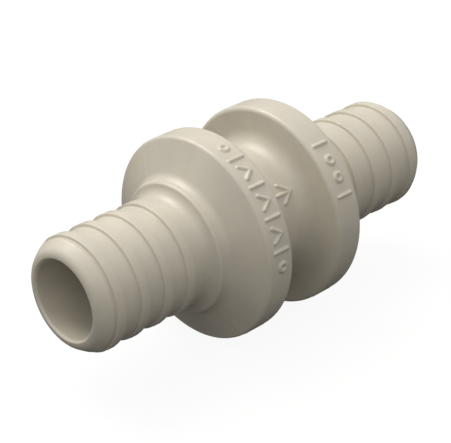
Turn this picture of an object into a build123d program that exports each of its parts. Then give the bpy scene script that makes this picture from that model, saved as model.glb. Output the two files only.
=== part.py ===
from build123d import *
import os
from math import cos, radians, sin

# In-line spring-loaded check valve in a barbed coupling for 14 x 2 mm plastic pipe, in millimetres.
# The valve lies along X and water flows towards +X, from the inlet half to the outlet half.
# The origin is midway between the two mouths, on the axis, and +Z is up.

# Outside of the two moulded halves, with distances along the axis measured from the middle
HALF_LENGTH = 23.7
FLANGE_R = 11.0
FLANGE_INNER = 3.35
FLANGE_OUTER = 6.7
FLANGE_ROUND = 0.5
FLANGE_FILLET = 1.8
FACE_FOOT = 8.45
FACE_FILLET = 1.15
NECK_R = 6.9
COLLAR_R = 7.05
COLLAR_END = 9.5
COLLAR_SLOPE = 0.2
COLLAR_FOOT_FILLET = 1.2
BORE_R = 4.15
LIP = 0.2

# Barb: four narrow square-edged ribs on a slimmer stem, with a rounded nose
BARB_R = 6.05
STEM_OUTER_R = 5.73
RIB_FIRST = 12.43
RIB_PITCH = 3.0
RIB_COUNT = 4
RIB_WIDTH = 1.0
RIB_SLOPE = 0.06
RIB_ROUND = 0.08
NOSE_BEND = 22.4
NOSE_BEND_R = 5.82
NOSE_END_R = 4.95
NOSE_ROUND = 1.05

# Joint between the halves: the outlet half's spigot stands in a socket in the inlet flange
SPIGOT_R = 7.0
SPIGOT_END = -5.4
SPIGOT_ROUND = 0.15
SEAL_ROOM = 1.1
SEAL_INNER_R = 5.7
SEAL_ROUND = 0.45
FIT_GAP = 0.01

# Chamber for the cartridge, in the outlet half
CHAMBER_R = 5.5
CHAMBER_END = 9.0
TAPER_R = 4.9
TAPER_END = 11.0
CLIP_X = -4.4
CLIP_WIRE = 0.6
CLIP_GROOVE_R = 5.9
CLIP_GROOVE_WIDTH = 0.7

# Cartridge: cage, seat and stem guide
CAGE_FRONT = -4.0
CAGE_R = CHAMBER_R - 2 * FIT_GAP
CAGE_INNER_R = 4.7
SEAT_R = 3.0
SEAT_X = -2.6
SEAT_GAP = 0.03
CAGE_GROOVE_FRONT = -3.4
CAGE_GROOVE_REAR = -2.1
CAGE_GROOVE_R = 4.65
GUIDE_FRONT = 6.6
GUIDE_R = 4.9
GUIDE_RING_INNER_R = 4.1
GUIDE_HUB_R = 1.75
GUIDE_HUB_FRONT = 5.6
GUIDE_ARM_REAR = 8.2
GUIDE_ARM_WIDTH = 1.1

# Poppet and its seal, drawn closed on the seat
LIFT = 2.5
SEAL_FRONT = -2.2
HEAD_FRONT = -1.15
HEAD_REAR = -0.35
HEAD_R = 3.75
SEAL_R = 3.9
BOSS_R = 2.3
STUD_R = 0.9
STEM_R = 1.0
STEM_CLEARANCE = 0.06
STEM_END = 8.4
STOP_R = 1.6
STOP_END = GUIDE_HUB_FRONT - LIFT - 0.05
RETAINER_R = 2.8
RETAINER_FRONT = -3.4

# Spring between the poppet's head and the stem guide
SPRING_WIRE = 0.32
SPRING_R = 2.35
SPRING_TURNS = 5.5

# Raised marks, moulded on the flange rims and the neck
MARK_HEIGHT = 0.2
MARK_LENGTH = 1.7
MARK_WIDTH = 0.35
MARK_MIDDLE = 141.0
RIM_MARK_STEP = 9.0
FAR_MARK_STEP = 10.0
INLET_MARKS = ("ring", "bar", "chevron", "bar", "chevron", "bar", "chevron", "bar", "ring")
OUTLET_MARKS = ("bar", "ring", "ring", "bar")
MARK_RING_R = 0.55
MARK_RING_HOLE_R = 0.25
CHEVRON = ((-0.75, 0.8), (-0.3, 0.8), (0.6, 0), (-0.3, -0.8), (-0.75, -0.8), (0.15, 0))
ARROW = (
    (-2.0, 0.35),
    (0.3, 0.35),
    (0.3, 1.1),
    (2.0, 0),
    (0.3, -1.1),
    (0.3, -0.35),
    (-2.0, -0.35),
)


def outline(corners):
    """Closed outline in the XY plane from (x, radius, rounding) corners, to be turned about X."""
    with BuildSketch(Plane.XY) as profile:
        with BuildLine():
            points = [(x, r) for x, r, _ in corners]
            FilletPolyline(*points, radius=[rounding for _, _, rounding in corners], close=True)
        make_face()
    return profile.sketch


def tube(start, end, inner_r, outer_r, rounding=0.0):
    """Ring-shaped outline between two stations on the axis."""
    return outline(
        [
            (start, inner_r, rounding),
            (start, outer_r, rounding),
            (end, outer_r, rounding),
            (end, inner_r, rounding),
        ]
    )


def rod(start, end, radius):
    """Outline of a plain round bar or hole on the axis."""
    return outline([(start, 0, 0), (start, radius, 0), (end, radius, 0), (end, 0, 0)])


def outlet_taper():
    """Outline of the taper from the chamber down to the outlet bore."""
    return outline(
        [
            (CHAMBER_END, 0, 0),
            (CHAMBER_END, TAPER_R, 0),
            (TAPER_END, BORE_R, 0),
            (TAPER_END, 0, 0),
        ]
    )


def barb_ribs(side):
    """Corners of the barb's square ribs, from the collar to the nose."""
    corners = []
    for number in range(RIB_COUNT):
        near = RIB_FIRST + number * RIB_PITCH - RIB_WIDTH / 2
        far = near + RIB_WIDTH
        corners.append((side * (near - RIB_SLOPE), STEM_OUTER_R, RIB_ROUND))
        corners.append((side * near, BARB_R, RIB_ROUND))
        corners.append((side * far, BARB_R, RIB_ROUND))
        corners.append((side * (far + RIB_SLOPE), STEM_OUTER_R, RIB_ROUND))
    return corners


def barb_and_flange(side, start):
    """Corners of a flange's rim, its collar and its barb, from the neck to the mouth."""
    corners = [
        (side * FLANGE_INNER, FLANGE_R, FLANGE_ROUND),
        (side * FLANGE_OUTER, FLANGE_R, FLANGE_ROUND),
        (side * FACE_FOOT, COLLAR_R, FACE_FILLET),
        (side * COLLAR_END, COLLAR_R, 0.3),
        (side * (COLLAR_END + COLLAR_SLOPE), STEM_OUTER_R, COLLAR_FOOT_FILLET),
    ]
    corners += barb_ribs(side)
    corners += [
        (side * NOSE_BEND, NOSE_BEND_R, 0.4),
        (side * HALF_LENGTH, NOSE_END_R, NOSE_ROUND),
        (side * HALF_LENGTH, 0, 0),
    ]
    return outline(start + corners)


def round_mouth(side):
    """Outline cut from a mouth: the bore's end with a rounded lip."""
    mouth = side * HALF_LENGTH
    return outline(
        [
            (mouth - side * 3 * LIP, 0, 0),
            (mouth - side * 3 * LIP, BORE_R, 0),
            (mouth - side * LIP, BORE_R, LIP),
            (mouth, BORE_R + LIP, 0),
            (mouth, 0, 0),
        ]
    )


def mark_plane(x, radius, angle):
    """Plane tangent to the valve at a station and an angle from +Y, a little under the surface."""
    turn = radians(angle)
    outwards = (0, cos(turn), sin(turn))
    sunk = radius - MARK_HEIGHT
    return Plane(origin=(x, sunk * cos(turn), sunk * sin(turn)), x_dir=(1, 0, 0), z_dir=outwards)


def raise_mark(shape, x, radius, angle):
    """Add one raised mark to the part being built."""
    with BuildSketch(mark_plane(x, radius, angle)) as mark:
        if shape == "bar":
            Rectangle(MARK_LENGTH, MARK_WIDTH)
        elif shape == "ring":
            Circle(MARK_RING_R)
            Circle(MARK_RING_HOLE_R, mode=Mode.SUBTRACT)
        elif shape == "chevron":
            Polygon(*CHEVRON, align=None)
        elif shape == "arrow":
            Polygon(*ARROW, align=None)
    extrude(mark.sketch, amount=2 * MARK_HEIGHT)


def raise_rim_marks(x, shapes, step):
    """Add a row of marks round a flange's rim."""
    first = MARK_MIDDLE - step * (len(shapes) - 1) / 2
    for number, shape in enumerate(shapes):
        raise_mark(shape, x, FLANGE_R, first + number * step)


def spider_arms(count):
    """Arms of the stem guide, from its hub out to its ring."""
    reach = GUIDE_RING_INNER_R + 0.2
    depth = GUIDE_ARM_REAR - GUIDE_FRONT
    for number in range(count):
        plane = Plane.YZ.offset(GUIDE_FRONT).rotated((90 + number * 360 / count, 0, 0))
        with BuildSketch(plane) as arm:
            with Locations(((GUIDE_HUB_R - 0.3 + reach) / 2, 0)):
                Rectangle(reach - GUIDE_HUB_R + 0.3, GUIDE_ARM_WIDTH)
        extrude(arm.sketch, amount=depth)


rim_middle = (FLANGE_INNER + FLANGE_OUTER) / 2
bore_run = HALF_LENGTH - 0.5

with BuildPart() as inlet_body:
    revolve(barb_and_flange(-1, [(-FLANGE_INNER, 0, 0)]), axis=Axis.X)
    raise_rim_marks(-rim_middle, INLET_MARKS, RIM_MARK_STEP)
    revolve(rod(-bore_run, SPIGOT_END, BORE_R), axis=Axis.X, mode=Mode.SUBTRACT)
    revolve(round_mouth(-1), axis=Axis.X, mode=Mode.SUBTRACT)
    revolve(rod(SPIGOT_END, 0, SPIGOT_R), axis=Axis.X, mode=Mode.SUBTRACT)
    seal_room = tube(SPIGOT_END - SEAL_ROOM, SPIGOT_END, SEAL_INNER_R, SPIGOT_R)
    revolve(seal_room, axis=Axis.X, mode=Mode.SUBTRACT)

with BuildPart() as outlet_body:
    # The neck's flared foot butts on the inlet flange, and the spigot goes on into the socket
    neck = [(0, 0, 0), (0, NECK_R, 0), (FLANGE_INNER, NECK_R, FLANGE_FILLET)]
    revolve(barb_and_flange(1, neck), axis=Axis.X)
    foot = outline(
        [
            (SPIGOT_END, 0, 0),
            (SPIGOT_END, SPIGOT_R, SPIGOT_ROUND),
            (-FLANGE_INNER, SPIGOT_R, 0),
            (-FLANGE_INNER, NECK_R + FLANGE_FILLET, 0),
            (-FLANGE_INNER + FLANGE_FILLET, NECK_R, 0),
            (0, NECK_R, 0),
            (0, 0, 0),
        ]
    )
    revolve(foot, axis=Axis.X)
    flare_corner = (-FLANGE_INNER + FLANGE_FILLET, NECK_R + FLANGE_FILLET)
    with BuildSketch(Plane.XY) as flare:
        with Locations(flare_corner):
            Circle(FLANGE_FILLET)
    revolve(flare.sketch, axis=Axis.X, mode=Mode.SUBTRACT)
    raise_rim_marks(rim_middle, OUTLET_MARKS, FAR_MARK_STEP)
    raise_mark("arrow", 0, NECK_R, MARK_MIDDLE)
    revolve(rod(SPIGOT_END, CHAMBER_END, CHAMBER_R), axis=Axis.X, mode=Mode.SUBTRACT)
    revolve(outlet_taper(), axis=Axis.X, mode=Mode.SUBTRACT)
    revolve(rod(TAPER_END, bore_run, BORE_R), axis=Axis.X, mode=Mode.SUBTRACT)
    revolve(round_mouth(1), axis=Axis.X, mode=Mode.SUBTRACT)
    clip_front = CLIP_X - CLIP_GROOVE_WIDTH / 2
    clip_groove = rod(clip_front, clip_front + CLIP_GROOVE_WIDTH, CLIP_GROOVE_R)
    revolve(clip_groove, axis=Axis.X, mode=Mode.SUBTRACT)

with BuildPart() as body_seal:
    front = SPIGOT_END - SEAL_ROOM + FIT_GAP
    ring = tube(front, SPIGOT_END - FIT_GAP, SEAL_INNER_R + 0.05, SPIGOT_R - FIT_GAP, SEAL_ROUND)
    revolve(ring, axis=Axis.X)

with BuildPart() as valve_cage:
    shell = outline(
        [
            (CAGE_FRONT, SEAT_R + 0.6, 0),
            (CAGE_FRONT, CAGE_R, 0.15),
            (CAGE_GROOVE_FRONT, CAGE_R, 0.05),
            (CAGE_GROOVE_FRONT, CAGE_GROOVE_R, 0.05),
            (CAGE_GROOVE_REAR, CAGE_GROOVE_R, 0.05),
            (CAGE_GROOVE_REAR, CAGE_R, 0.05),
            (CHAMBER_END, CAGE_R, 0.15),
            (CHAMBER_END, GUIDE_R, 0),
            (GUIDE_FRONT, GUIDE_R, 0),
            (GUIDE_FRONT, CAGE_INNER_R, 0),
            (SEAT_X + CAGE_INNER_R - SEAT_R, CAGE_INNER_R, 0.4),
            (SEAT_X, SEAT_R, 0.05),
            (CAGE_FRONT + 0.6, SEAT_R, 0.2),
        ]
    )
    revolve(shell, axis=Axis.X)

with BuildPart() as cage_seal:
    front = CAGE_GROOVE_FRONT + 0.05
    rear = CAGE_GROOVE_REAR - 0.05
    ring = tube(front, rear, CAGE_GROOVE_R + FIT_GAP, CHAMBER_R - FIT_GAP, 0.35)
    revolve(ring, axis=Axis.X)

with BuildPart() as poppet:
    body = outline(
        [
            (RETAINER_FRONT - 0.25, 0, 0),
            (RETAINER_FRONT - 0.25, STUD_R + 0.4, 0.15),
            (RETAINER_FRONT, STUD_R + 0.4, 0),
            (RETAINER_FRONT, STUD_R, 0),
            (SEAL_FRONT, STUD_R, 0),
            (SEAL_FRONT, BOSS_R, 0),
            (HEAD_FRONT, BOSS_R, 0),
            (HEAD_FRONT, HEAD_R, 0.1),
            (HEAD_REAR, HEAD_R, 0.3),
            (HEAD_REAR, STOP_R, 0.3),
            (STOP_END, STOP_R, 0.15),
            (STOP_END, STEM_R, 0.2),
            (STEM_END, STEM_R, 0.35),
            (STEM_END, 0, 0),
        ]
    )
    revolve(body, axis=Axis.X)

with BuildPart() as poppet_seal:
    # The lip is parallel to the seat's cone and just clear of it
    lip_front_r = SEAT_R + (SEAL_FRONT - SEAT_X) - SEAT_GAP * 1.414
    lip_rear = SEAL_FRONT + SEAL_R - lip_front_r
    ring = outline(
        [
            (SEAL_FRONT, BOSS_R, 0),
            (SEAL_FRONT, lip_front_r, 0.1),
            (lip_rear, SEAL_R, 0.2),
            (HEAD_FRONT, SEAL_R, 0.1),
            (HEAD_FRONT, BOSS_R, 0),
        ]
    )
    revolve(ring, axis=Axis.X)

with BuildPart() as seal_retainer:
    disc = outline(
        [
            (SEAL_FRONT, STUD_R, 0),
            (SEAL_FRONT, RETAINER_R, 0.1),
            (SEAL_FRONT - 0.6, RETAINER_R, 0.4),
            (RETAINER_FRONT, STUD_R + 0.9, 0.4),
            (RETAINER_FRONT, STUD_R, 0),
        ]
    )
    revolve(disc, axis=Axis.X)

with BuildPart() as poppet_spring:
    # The wire's ends lie against the poppet's head and the stem guide's arms
    wire_r = SPRING_WIRE / 2
    height = GUIDE_FRONT - HEAD_REAR - SPRING_WIRE - 0.04
    start = HEAD_REAR + wire_r + 0.02
    with BuildLine() as coil:
        Helix(
            pitch=height / SPRING_TURNS,
            height=height,
            radius=SPRING_R,
            center=(start, 0, 0),
            direction=(1, 0, 0),
        )
    with BuildSketch(Plane(origin=coil.line @ 0, z_dir=coil.line % 0)) as wire:
        Circle(wire_r)
    sweep(wire.sketch, path=coil.line)

with BuildPart() as stem_guide:
    revolve(tube(GUIDE_FRONT, CHAMBER_END, GUIDE_RING_INNER_R, GUIDE_R - FIT_GAP, 0.1), axis=Axis.X)
    revolve(tube(GUIDE_HUB_FRONT, GUIDE_ARM_REAR, 0.5, GUIDE_HUB_R, 0.1), axis=Axis.X)
    spider_arms(3)
    stem_hole = rod(GUIDE_HUB_FRONT - 1, GUIDE_ARM_REAR + 1, STEM_R + STEM_CLEARANCE)
    revolve(stem_hole, axis=Axis.X, mode=Mode.SUBTRACT)

with BuildPart() as retaining_ring:
    gap = 50
    clip_r = CLIP_GROOVE_R - CLIP_WIRE / 2 - 0.05
    with BuildSketch(Plane.XY.rotated((-90 + gap / 2, 0, 0))) as wire:
        with Locations((CLIP_X, clip_r)):
            Circle(CLIP_WIRE / 2)
    revolve(wire.sketch, axis=Axis.X, revolution_arc=360 - gap)

PIECES = {
    "inlet_body": inlet_body,
    "outlet_body": outlet_body,
    "body_seal": body_seal,
    "valve_cage": valve_cage,
    "cage_seal": cage_seal,
    "poppet": poppet,
    "poppet_seal": poppet_seal,
    "seal_retainer": seal_retainer,
    "poppet_spring": poppet_spring,
    "stem_guide": stem_guide,
    "retaining_ring": retaining_ring,
}

os.makedirs("parts", exist_ok=True)
for name, piece in PIECES.items():
    piece.part.label = name
    export_step(piece.part, f"parts/{name}.step")
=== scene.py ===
import math

import bmesh
import bpy
import numpy as np
from mathutils import Matrix, Vector


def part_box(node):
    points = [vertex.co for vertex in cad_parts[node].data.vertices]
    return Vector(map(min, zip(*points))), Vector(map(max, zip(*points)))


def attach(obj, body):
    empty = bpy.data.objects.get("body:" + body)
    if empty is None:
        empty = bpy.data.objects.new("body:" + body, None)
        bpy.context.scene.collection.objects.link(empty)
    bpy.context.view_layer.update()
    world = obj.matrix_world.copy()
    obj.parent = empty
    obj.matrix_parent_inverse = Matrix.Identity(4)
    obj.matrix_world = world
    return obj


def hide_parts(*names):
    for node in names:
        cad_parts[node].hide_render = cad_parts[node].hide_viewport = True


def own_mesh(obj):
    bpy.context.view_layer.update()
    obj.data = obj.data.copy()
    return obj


# An in-line check valve in a barbed coupling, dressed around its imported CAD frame.
# The valve lies along X and water flows towards +X. Blender works in metres.
# The outlines of the two moulded halves are written in millimetres, as on a drawing.

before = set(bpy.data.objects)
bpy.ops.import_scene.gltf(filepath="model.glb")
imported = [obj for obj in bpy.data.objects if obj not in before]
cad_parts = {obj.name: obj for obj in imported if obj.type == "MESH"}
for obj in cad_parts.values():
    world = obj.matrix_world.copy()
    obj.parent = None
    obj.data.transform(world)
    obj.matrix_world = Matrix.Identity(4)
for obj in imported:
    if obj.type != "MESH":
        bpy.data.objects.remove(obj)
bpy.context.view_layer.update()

MM = 0.001


# ---------------------------------------------------------------- sizes, in millimetres

# Outside of the halves, with distances along the axis measured from the middle
HALF_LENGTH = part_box("outlet_body")[1].x / MM
FLANGE_R = -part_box("outlet_body")[0].z / MM
FLANGE_INNER = -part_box("inlet_body")[1].x / MM
FLANGE_OUTER = 6.7
FLANGE_ROUND = 0.5
FLANGE_FILLET = 1.8
FACE_FOOT = 8.45
FACE_FILLET = 1.15
NECK_R = 6.9
COLLAR_R = 7.05
COLLAR_END = 9.5
COLLAR_SLOPE = 0.2
COLLAR_ROUND = 0.3
COLLAR_FOOT_FILLET = 1.2
BORE_R = 4.15
LIP = 0.2

# Barb: narrow square-edged ribs on a slimmer stem, with a rounded nose
BARB_R = 6.05
STEM_OUTER_R = 5.73
RIB_FIRST = 12.43
RIB_PITCH = 3.0
RIB_COUNT = 4
RIB_WIDTH = 1.0
RIB_SLOPE = 0.06
RIB_ROUND = 0.08
NOSE_BEND = 22.4
NOSE_BEND_R = 5.82
NOSE_BEND_ROUND = 0.4
NOSE_END_R = 4.95
NOSE_ROUND = 1.05

# Joint between the halves, and the chamber for the cartridge
FIT_GAP = 0.01
CLIP_GAP = 0.05
SPIGOT_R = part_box("body_seal")[1].z / MM + FIT_GAP
SPIGOT_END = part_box("outlet_body")[0].x / MM
SPIGOT_ROUND = 0.15
SEAL_ROOM_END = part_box("body_seal")[0].x / MM - FIT_GAP
SEAL_INNER_R = 5.7
CHAMBER_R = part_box("valve_cage")[1].z / MM + 2 * FIT_GAP
CHAMBER_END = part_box("valve_cage")[1].x / MM
TAPER_R = 4.9
TAPER_END = 11.0
CLIP_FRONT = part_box("retaining_ring")[0].x / MM - CLIP_GAP
CLIP_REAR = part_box("retaining_ring")[1].x / MM + CLIP_GAP
CLIP_GROOVE_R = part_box("retaining_ring")[1].z / MM + CLIP_GAP

# Raised marks on the rims and the neck, as strokes on a flat drawing
MARK_HEIGHT = 0.2
MARK_STROKE = 0.18
MARK_SOFT = 0.11
RING_R = 0.42
BAR = [[(-0.85, 0), (0.85, 0)]]
RING = [[(RING_R * math.cos(a), RING_R * math.sin(a)) for a in np.linspace(0, 2 * math.pi, 13)]]
CHEVRON = [[(-0.6, 0.75), (0.45, 0), (-0.6, -0.75)]]
ARROW = [[(-2.0, 0), (1.8, 0)], [(0.7, 1.0), (1.9, 0), (0.7, -1.0)]]
SHAPES = {"bar": BAR, "ring": RING, "chevron": CHEVRON, "arrow": ARROW}
INLET_MARKS = ("ring", "bar", "chevron", "bar", "chevron", "bar", "chevron", "bar", "ring")
OUTLET_MARKS = ("bar", "ring", "ring", "bar")
RIM_MIDDLE = (FLANGE_INNER + FLANGE_OUTER) / 2
ARROW_REACH = 2.4

# Where the marks and the parting line are, in degrees round the valve from +Y towards +Z
MARK_MIDDLE = 141.0
INLET_MARK_STEP = 9.0
OUTLET_MARK_STEP = 10.0
PARTING_ANGLES = (48.0, 228.0)
FLASH_HEIGHT = 0.035
FLASH_WIDTH = 0.06

# How finely the halves are meshed: arcs and columns in degrees, rows in millimetres
ARC_STEP = 11
COLUMN_STEP = 2.5
MARK_COLUMNS = {"start": 94, "stop": 188, "step": 0.45}
FLASH_COLUMNS = (-1.4, -0.8, -0.4, 0.0, 0.4, 0.8, 1.4)
ROW_STEP = 0.09
ON_SURFACE = 0.02
ON_NECK = 0.3

# Spring, in turns and millimetres
SPRING_TURNS = 6.5
SPRING_END_TURNS = 0.9
SPRING_WIRE_R = 0.16
SPRING_END_PITCH = 0.95 * 2 * SPRING_WIRE_R


# ---------------------------------------------------------------- camera, floor and lights, in metres

FLOOR_DROP = 0.4 * MM
LAMP_DISTANCE = 0.45
LAMP_SIZE = 0.30
LAMP_TINT = (1.0, 0.985, 0.95)


def make_camera():
    """The camera looks down along the valve from its inlet end."""
    azimuth, elevation = math.radians(-44.95), math.radians(28.49)
    distance, right_shift, up_shift = 153.57 * MM, 1.371 * MM, 0.468 * MM
    level = math.cos(elevation)
    forward = Vector((-math.sin(azimuth) * level, math.cos(azimuth) * level, -math.sin(elevation)))
    right = Vector((math.cos(azimuth), math.sin(azimuth), 0))
    up = right.cross(forward)
    place = -(right * right_shift + up * up_shift + forward * distance)
    turn = Matrix((right, up, -forward)).transposed().to_4x4()
    data = bpy.data.cameras.new("camera")
    data.lens, data.sensor_width = 117.2, 36
    data.clip_start, data.clip_end = 0.005, 20
    camera = bpy.data.objects.new("camera", data)
    bpy.context.scene.collection.objects.link(camera)
    camera.matrix_world = Matrix.Translation(place) @ turn
    bpy.context.scene.camera = camera


def area_light(name, direction, power):
    """A soft square lamp that shines on the valve from a direction."""
    data = bpy.data.lights.new(name, "AREA")
    data.size, data.energy, data.color = LAMP_SIZE, power, LAMP_TINT
    lamp = bpy.data.objects.new(name, data)
    towards = Vector(direction).normalized()
    lamp.location = towards * LAMP_DISTANCE
    lamp.rotation_mode = "QUATERNION"
    lamp.rotation_quaternion = towards.to_track_quat("Z", "Y")
    bpy.context.scene.collection.objects.link(lamp)


def node_tools(tree):
    """Empties a node tree and gives two helpers: one adds a node and one links sockets."""
    tree.nodes.clear()

    def add(kind, inputs=None, **settings):
        node = tree.nodes.new(kind)
        for key, value in settings.items():
            setattr(node, key, value)
        for key, value in (inputs or {}).items():
            node.inputs[key].default_value = value
        return node

    return add, tree.links.new


def light_room(high, low):
    """The room around the valve: bright overhead, dim below the horizon."""
    world = bpy.data.worlds.new("room")
    world.use_nodes = True
    add, link = node_tools(world.node_tree)
    where = add("ShaderNodeTexCoord")
    split = add("ShaderNodeSeparateXYZ")
    link(where.outputs["Generated"], split.inputs[0])
    ramp = add(
        "ShaderNodeMapRange",
        {"From Min": -0.5, "From Max": 0.6, "To Min": low, "To Max": high},
        interpolation_type="SMOOTHSTEP",
    )
    link(split.outputs["Z"], ramp.inputs["Value"])
    back = add("ShaderNodeBackground", {"Color": (1, 0.985, 0.96, 1)})
    link(ramp.outputs[0], back.inputs["Strength"])
    out = add("ShaderNodeOutputWorld")
    link(back.outputs[0], out.inputs["Surface"])
    bpy.context.scene.world = world


def make_floor(height):
    """A plain pale floor that only just takes a shadow."""
    size = 4.0
    mesh = bpy.data.meshes.new("floor")
    corners = [(-size, -size, height), (size, -size, height), (size, size, height), (-size, size, height)]
    mesh.from_pydata(corners, [], [(0, 1, 2, 3)])
    floor = bpy.data.objects.new("floor", mesh)
    bpy.context.scene.collection.objects.link(floor)
    floor.visible_diffuse = False
    floor.visible_glossy = False
    material = bpy.data.materials.new("floor_white")
    material.use_nodes = True
    add, link = node_tools(material.node_tree)
    diffuse = add("ShaderNodeBsdfDiffuse", {"Color": (0.9, 0.9, 0.9, 1)})
    glow = add("ShaderNodeEmission", {"Color": (1, 1, 1, 1), "Strength": 1.02})
    mix = add("ShaderNodeMixShader", {0: 0.9})
    link(diffuse.outputs[0], mix.inputs[1])
    link(glow.outputs[0], mix.inputs[2])
    out = add("ShaderNodeOutputMaterial")
    link(mix.outputs[0], out.inputs["Surface"])
    mesh.materials.append(material)


# ---------------------------------------------------------------- materials

class Look:
    """A principled material, with short helpers that add its nodes."""

    def __init__(self, name):
        self.material = bpy.data.materials.new(name)
        self.material.use_nodes = True
        self.add, self.link = node_tools(self.material.node_tree)
        self.shader = self.add("ShaderNodeBsdfPrincipled")
        out = self.add("ShaderNodeOutputMaterial")
        self.link(self.shader.outputs[0], out.inputs["Surface"])
        self.where = self.add("ShaderNodeTexCoord").outputs["Object"]

    def noise(self, per_mm, detail=4.0, rough=0.55, stretch=None):
        """Noise with a number of grains to the millimetre, stretched along the axes for drawn lines."""
        where = self.where
        if stretch:
            mapping = self.add("ShaderNodeMapping", {"Scale": stretch})
            self.link(where, mapping.inputs["Vector"])
            where = mapping.outputs[0]
        inputs = {"Scale": per_mm / MM, "Detail": detail, "Roughness": rough}
        node = self.add("ShaderNodeTexNoise", inputs)
        self.link(where, node.inputs["Vector"])
        return node.outputs["Fac"]

    def scaled(self, value, low, high, start=0.35, end=0.65):
        """A value stretched from start..end to low..high, with its ends held."""
        inputs = {"From Min": start, "From Max": end, "To Min": low, "To Max": high}
        node = self.add("ShaderNodeMapRange", inputs)
        self.link(value, node.inputs["Value"])
        return node.outputs[0]

    def mixed(self, share, first, second):
        """A colour between two, by a share from 0 to 1. Each is a colour or a socket."""
        node = self.add("ShaderNodeMix", data_type="RGBA")
        for socket, colour in ((node.inputs[6], first), (node.inputs[7], second)):
            if isinstance(colour, tuple):
                socket.default_value = (*colour, 1)
            else:
                self.link(colour, socket)
        self.link(share, node.inputs[0])
        return node.outputs[2]

    def drive(self, socket, value):
        """Links a value to one of the shader's sockets."""
        self.link(value, self.shader.inputs[socket])

    def hold(self, **constants):
        """Sets constants on the shader's sockets, named with _ for each space."""
        for name, value in constants.items():
            self.shader.inputs[name.replace("_", " ")].default_value = value

    def bumped(self, *layers):
        """Stacks bumps on the shader: each layer is a height socket and its depth in millimetres."""
        normal = None
        for height, depth in layers:
            bump = self.add("ShaderNodeBump", {"Strength": 1.0, "Distance": depth * MM})
            self.link(height, bump.inputs["Height"])
            if normal is not None:
                self.link(normal, bump.inputs["Normal"])
            normal = bump.outputs["Normal"]
        self.drive("Normal", normal)


def ppsu():
    """Bone-coloured moulded PPSU: semi-matte, faintly mottled, with a fine grain and a few scuffs."""
    look = Look("ppsu_bone")
    cloud = look.noise(0.16, detail=3)
    flecks = look.noise(3.5, detail=2)
    grain = look.noise(14, detail=3, rough=0.6)
    sway = look.noise(0.45, detail=2)
    scratches = look.noise(0.5, detail=5, rough=0.7, stretch=(0.6, 9, 9))
    worn = {"start": 0.60, "end": 0.74}
    colour = look.mixed(look.scaled(cloud, 0, 1), (0.585, 0.545, 0.462), (0.640, 0.592, 0.492))
    colour = look.mixed(look.scaled(flecks, 0, 0.22, **worn), colour, (0.52, 0.475, 0.395))
    colour = look.mixed(look.scaled(scratches, 0, 0.3, **worn), colour, (0.70, 0.665, 0.58))
    look.drive("Base Color", colour)
    rough = look.add("ShaderNodeMath", {1: 0.14}, operation="MULTIPLY_ADD")
    look.link(look.scaled(scratches, 0, 1, **worn), rough.inputs[0])
    look.link(look.scaled(sway, 0.31, 0.40), rough.inputs[2])
    look.drive("Roughness", rough.outputs[0])
    look.hold(Specular_IOR_Level=0.5, IOR=1.58, Subsurface_Weight=0.12)
    look.hold(Subsurface_Radius=(1.0, 0.8, 0.55), Subsurface_Scale=0.7 * MM)
    look.bumped((sway, 0.02), (grain, 0.006), (scratches, 0.004))
    return look.material


def pom():
    """White moulded POM: smooth and a little translucent, with faint flow marks."""
    look = Look("pom_white")
    cloud = look.noise(0.3, detail=3)
    flow = look.noise(0.8, detail=4, stretch=(0.5, 3, 3))
    grain = look.noise(20, detail=2)
    colour = look.mixed(look.scaled(cloud, 0, 1), (0.80, 0.80, 0.775), (0.87, 0.87, 0.85))
    streaks = look.scaled(flow, 0, 0.5, start=0.55, end=0.75)
    look.drive("Base Color", look.mixed(streaks, colour, (0.74, 0.735, 0.70)))
    look.drive("Roughness", look.scaled(flow, 0.28, 0.42))
    look.hold(Subsurface_Weight=0.25)
    look.hold(Subsurface_Radius=(1.0, 0.95, 0.9), Subsurface_Scale=0.8 * MM)
    look.bumped((flow, 0.006), (grain, 0.002))
    return look.material


def epdm():
    """Black moulded EPDM rubber with a dusty bloom and a fine grain."""
    look = Look("epdm_black")
    bloom = look.noise(0.9, detail=5)
    grain = look.noise(16, detail=3)
    colour = look.mixed(look.scaled(bloom, 0, 1), (0.016, 0.016, 0.017), (0.048, 0.048, 0.046))
    look.drive("Base Color", colour)
    look.drive("Roughness", look.scaled(bloom, 0.55, 0.75))
    look.bumped((grain, 0.008))
    return look.material


def stainless():
    """Bright drawn stainless wire, with fine die lines and a few dull spots."""
    look = Look("stainless_wire")
    lines = look.noise(1.5, detail=5, rough=0.7, stretch=(12, 1, 1))
    spots = look.noise(1.2, detail=4)
    colour = look.mixed(look.scaled(spots, 0, 1), (0.58, 0.575, 0.56), (0.70, 0.695, 0.68))
    look.drive("Base Color", colour)
    look.hold(Metallic=1.0)
    look.drive("Roughness", look.scaled(lines, 0.18, 0.38))
    look.bumped((lines, 0.003))
    return look.material


# ---------------------------------------------------------------- outlines of the moulded halves

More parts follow.
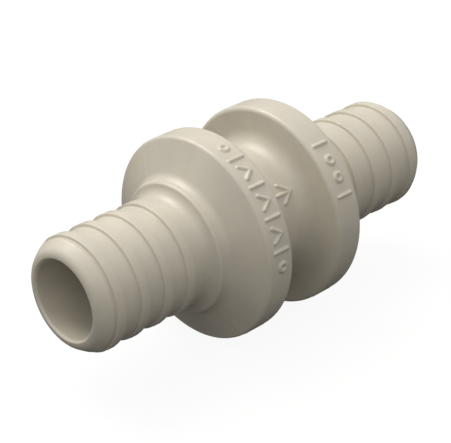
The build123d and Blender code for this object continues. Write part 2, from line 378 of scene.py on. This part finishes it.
def barb_corners(side):
    """Corners from the flange's rim to the bore's lip: (x, radius, rounding), in millimetres."""
    corners = [
        (FLANGE_INNER, FLANGE_R, FLANGE_ROUND),
        (FLANGE_OUTER, FLANGE_R, FLANGE_ROUND),
        (FACE_FOOT, COLLAR_R, FACE_FILLET),
        (COLLAR_END, COLLAR_R, COLLAR_ROUND),
        (COLLAR_END + COLLAR_SLOPE, STEM_OUTER_R, COLLAR_FOOT_FILLET),
    ]
    for number in range(RIB_COUNT):
        near = RIB_FIRST + number * RIB_PITCH - RIB_WIDTH / 2
        far = near + RIB_WIDTH
        corners += [
            (near - RIB_SLOPE, STEM_OUTER_R, RIB_ROUND),
            (near, BARB_R, RIB_ROUND),
            (far, BARB_R, RIB_ROUND),
            (far + RIB_SLOPE, STEM_OUTER_R, RIB_ROUND),
        ]
    corners += [
        (NOSE_BEND, NOSE_BEND_R, NOSE_BEND_ROUND),
        (HALF_LENGTH, NOSE_END_R, NOSE_ROUND),
        (HALF_LENGTH, BORE_R + LIP, 0),
        (HALF_LENGTH - LIP, BORE_R, LIP),
    ]
    return [(side * x, r, rounding) for x, r, rounding in corners]


def rounded(corners):
    """Points of a closed outline, with an arc at each rounded corner: (x, radius, corner number)."""
    points = []
    for number, (x, r, rounding) in enumerate(corners):
        here = np.array([x, r])
        if not rounding:
            points.append((x, r, number))
            continue
        before = np.array(corners[number - 1][:2]) - here
        after = np.array(corners[(number + 1) % len(corners)][:2]) - here
        before /= np.linalg.norm(before)
        after /= np.linalg.norm(after)
        half = math.acos(float(np.clip(before @ after, -1, 1))) / 2
        middle = (before + after) / np.linalg.norm(before + after)
        centre = here + middle * rounding / math.sin(half)
        start = here + before * rounding / math.tan(half) - centre
        end = here + after * rounding / math.tan(half) - centre
        turn = math.pi - 2 * half
        steps = max(3, math.ceil(turn / math.radians(ARC_STEP)))
        for step in range(steps + 1):
            share = step / steps
            arm = math.sin((1 - share) * turn) * start + math.sin(share * turn) * end
            points.append((*(centre + arm / math.sin(turn)), number))
    return points


def with_rows(points, low, high, above):
    """The outline with more points where it lies between two stations and above a radius."""
    slack = 1e-6
    made = []
    for (x, r, number), (x2, r2, _) in zip(points, points[1:] + points[:1]):
        made.append((x, r, number))
        between = low - slack <= min(x, x2) and max(x, x2) <= high + slack
        dense = between and min(r, r2) > above
        count = math.ceil(math.hypot(x2 - x, r2 - r) / ROW_STEP) if dense else 1
        for part in range(1, count):
            share = part / count
            made.append((x + (x2 - x) * share, r + (r2 - r) * share, number))
    return made


# ---------------------------------------------------------------- raised marks and parting line

def distance_to_strokes(u, v, strokes):
    """Distance from points on a flat drawing to the nearest of its strokes."""
    nearest = np.full(u.shape, np.inf)
    for stroke in strokes:
        for (u1, v1), (u2, v2) in zip(stroke, stroke[1:]):
            along_u, along_v = u2 - u1, v2 - v1
            share = ((u - u1) * along_u + (v - v1) * along_v) / (along_u**2 + along_v**2)
            share = np.clip(share, 0, 1)
            away = np.hypot(u - u1 - share * along_u, v - v1 - share * along_v)
            nearest = np.minimum(nearest, away)
    return nearest


def mark_height(x, angle, radius, middle_x, shapes, step=0):
    """Height of a row of soft-edged raised marks round the valve, a step in degrees apart."""
    first = MARK_MIDDLE - step * (len(shapes) - 1) / 2
    height = np.zeros(np.broadcast(x, angle).shape)
    for number, shape in enumerate(shapes):
        v = np.radians(angle - (first + number * step)) * radius
        u, v = np.broadcast_arrays(x - middle_x, v)
        away = distance_to_strokes(u, v, SHAPES[shape]) - MARK_STROKE
        share = np.clip(0.5 - away / (2 * MARK_SOFT), 0, 1)
        height = np.maximum(height, MARK_HEIGHT * share * share * (3 - 2 * share))
    return height


def parting_height(angle, radius):
    """The hair of flash where the two mould halves met."""
    height = 0
    for parting in PARTING_ANGLES:
        away = np.radians(angle - parting) * radius
        height = height + FLASH_HEIGHT * np.exp(-((away / FLASH_WIDTH) ** 2))
    return height


def column_angles():
    """Angles round the valve, in degrees: closer under the marks and at the parting line."""
    angles = set(np.round(np.arange(0, 360, COLUMN_STEP), 3))
    angles |= set(np.round(np.arange(**MARK_COLUMNS), 3))
    for parting in PARTING_ANGLES:
        angles |= {round(parting + away, 3) for away in FLASH_COLUMNS}
    return np.array(sorted(angles))


# ---------------------------------------------------------------- meshes

def add_piece(name, verts, faces, material, sharp=()):
    """A smooth mesh piece that rides on the housing, with hard edges between the sharp points."""
    mesh = bpy.data.meshes.new(name)
    mesh.from_pydata([tuple(p) for p in verts], [], faces)
    work = bmesh.new()
    work.from_mesh(mesh)
    bmesh.ops.recalc_face_normals(work, faces=work.faces)
    for face in work.faces:
        face.smooth = True
    for edge in work.edges:
        edge.smooth = not all(v.index in sharp for v in edge.verts)
    work.to_mesh(mesh)
    work.free()
    mesh.materials.append(material)
    piece = bpy.data.objects.new(name, mesh)
    bpy.context.scene.collection.objects.link(piece)
    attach(piece, "housing")
    return piece


def turned(name, outer, inner, relief, dense, material):
    """A half turned about the valve's axis from its outer and inner corners, with relief outside."""
    corners = outer + inner
    points = rounded(corners)
    for zone in dense:
        points = with_rows(points, *zone)
    angle = column_angles()[None, :]
    x = np.array([p[0] for p in points])[:, None]
    r = np.array([p[1] for p in points])[:, None]
    outside = np.array([p[2] < len(outer) for p in points])[:, None]
    radius = r + np.where(outside, relief(x, angle, r), 0)
    rows, columns = radius.shape
    along = np.broadcast_to(x, radius.shape)
    turn = np.radians(angle)
    verts = np.stack([along, radius * np.cos(turn), radius * np.sin(turn)], -1).reshape(-1, 3) * MM

    faces = []
    sharp = set()
    for row, (point_x, point_r, number) in enumerate(points):
        this, following = row * columns, (row + 1) % rows * columns
        for column in range(columns):
            beside = (column + 1) % columns
            faces.append((this + column, this + beside, following + beside, following + column))
        if (point_x, point_r, 0) == corners[number]:
            sharp.update(range(this, this + columns))

    piece = add_piece(name, verts, faces, material, sharp)
    shading = piece.modifiers.new("even_shading", "WEIGHTED_NORMAL")
    shading.keep_sharp = True
    return piece


def make_inlet(material):
    """The inlet half: barb, flange and the socket for the other half."""
    outer = barb_corners(-1)
    inner = [
        (SPIGOT_END, BORE_R, 0),
        (SPIGOT_END, SEAL_INNER_R, 0),
        (SEAL_ROOM_END, SEAL_INNER_R, 0),
        (SEAL_ROOM_END, SPIGOT_R, 0),
        (-FLANGE_INNER, SPIGOT_R, 0),
    ]

    def relief(x, angle, r):
        on_rim = (r > FLANGE_R - ON_SURFACE) & (x < -FLANGE_INNER) & (x > -FLANGE_OUTER)
        marks = mark_height(x, angle, FLANGE_R, -RIM_MIDDLE, INLET_MARKS, INLET_MARK_STEP)
        return np.where(on_rim, marks, 0) + parting_height(angle, r)

    dense = [(-FLANGE_OUTER, -FLANGE_INNER, FLANGE_R - ON_SURFACE)]
    shell = turned("inlet_shell", outer, inner, relief, dense, material)
    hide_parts("inlet_body")


def make_outlet(material):
    """The outlet half: neck, flange, barb, the spigot and the chamber for the cartridge."""
    butt = -FLANGE_INNER + FIT_GAP
    outer = [
        (butt, NECK_R + FLANGE_FILLET + FIT_GAP, 0),
        (butt, NECK_R, FLANGE_FILLET),
        (FLANGE_INNER, NECK_R, FLANGE_FILLET),
    ]
    outer += barb_corners(1)
    inner = [
        (TAPER_END, BORE_R, 0),
        (CHAMBER_END, TAPER_R, 0),
        (CHAMBER_END, CHAMBER_R, 0),
        (CLIP_REAR, CHAMBER_R, 0),
        (CLIP_REAR, CLIP_GROOVE_R, 0),
        (CLIP_FRONT, CLIP_GROOVE_R, 0),
        (CLIP_FRONT, CHAMBER_R, 0),
        (SPIGOT_END, CHAMBER_R, 0),
        (SPIGOT_END, SPIGOT_R, SPIGOT_ROUND),
        (butt, SPIGOT_R, 0),
    ]

    def relief(x, angle, r):
        on_rim = (r > FLANGE_R - ON_SURFACE) & (x > FLANGE_INNER) & (x < FLANGE_OUTER)
        on_neck = (r < NECK_R + ON_NECK) & (np.abs(x) < ARROW_REACH)
        marks = mark_height(x, angle, FLANGE_R, RIM_MIDDLE, OUTLET_MARKS, OUTLET_MARK_STEP)
        arrow = mark_height(x, angle, NECK_R, 0, ("arrow",))
        return np.where(on_rim, marks, 0) + np.where(on_neck, arrow, 0) + parting_height(angle, r)

    neck_end = ARROW_REACH + 0.2
    dense = [
        (FLANGE_INNER, FLANGE_OUTER, FLANGE_R - ON_SURFACE),
        (-neck_end, neck_end, NECK_R - ON_SURFACE),
    ]
    shell = turned("outlet_shell", outer, inner, relief, dense, material)
    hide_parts("outlet_body")


def make_spring(material):
    """The poppet's spring, with its last turn at each end closed up."""
    low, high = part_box("poppet_spring")
    wire, closed = SPRING_WIRE_R * MM, SPRING_END_PITCH * MM
    coil_r = high.z - wire
    start, end = low.x + wire, high.x - wire
    steps, sides = 40, 10
    count = int(SPRING_TURNS * steps)
    verts, faces = [], []
    for step in range(count + 1):
        turn = step / count * SPRING_TURNS
        first = min(turn / SPRING_END_TURNS, 1)
        last = max((turn - SPRING_TURNS) / SPRING_END_TURNS + 1, 0)
        between = (turn - SPRING_END_TURNS) / (SPRING_TURNS - 2 * SPRING_END_TURNS)
        x = start + closed * (first + last) + (end - start - 2 * closed) * min(max(between, 0), 1)
        angle = turn * 2 * math.pi
        out = Vector((0, math.cos(angle), math.sin(angle)))
        for side in range(sides):
            around = side / sides * 2 * math.pi
            along = Vector((x + wire * math.sin(around), 0, 0))
            verts.append(out * (coil_r + wire * math.cos(around)) + along)
    for step in range(count):
        for side in range(sides):
            beside = (side + 1) % sides
            this, following = step * sides, (step + 1) * sides
            faces.append((this + side, this + beside, following + beside, following + side))
    faces.append(tuple(reversed(range(sides))))
    faces.append(tuple(range(count * sides, (count + 1) * sides)))
    coil = add_piece("spring_coil", verts, faces, material)
    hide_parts("poppet_spring")
    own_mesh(coil)


# ---------------------------------------------------------------- the scene

bpy.context.scene.view_settings.view_transform = "Standard"
make_camera()
light_room(high=0.73, low=0.06)
area_light("key", (-0.10, 0.52, 0.85), power=1.30)
area_light("fill", (-0.45, -0.38, 0.81), power=0.16)
make_floor(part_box("outlet_body")[0].z - FLOOR_DROP)

bone, white, black, steel = ppsu(), pom(), epdm(), stainless()
CAD_MATERIALS = {
    "inlet_body": bone,
    "outlet_body": bone,
    "valve_cage": white,
    "poppet": white,
    "seal_retainer": white,
    "stem_guide": white,
    "body_seal": black,
    "cage_seal": black,
    "poppet_seal": black,
    "retaining_ring": steel,
    "poppet_spring": steel,
}
for name, material in CAD_MATERIALS.items():
    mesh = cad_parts[name].data
    mesh.materials.clear()
    mesh.materials.append(material)

make_inlet(bone)
make_outlet(bone)
make_spring(steel)
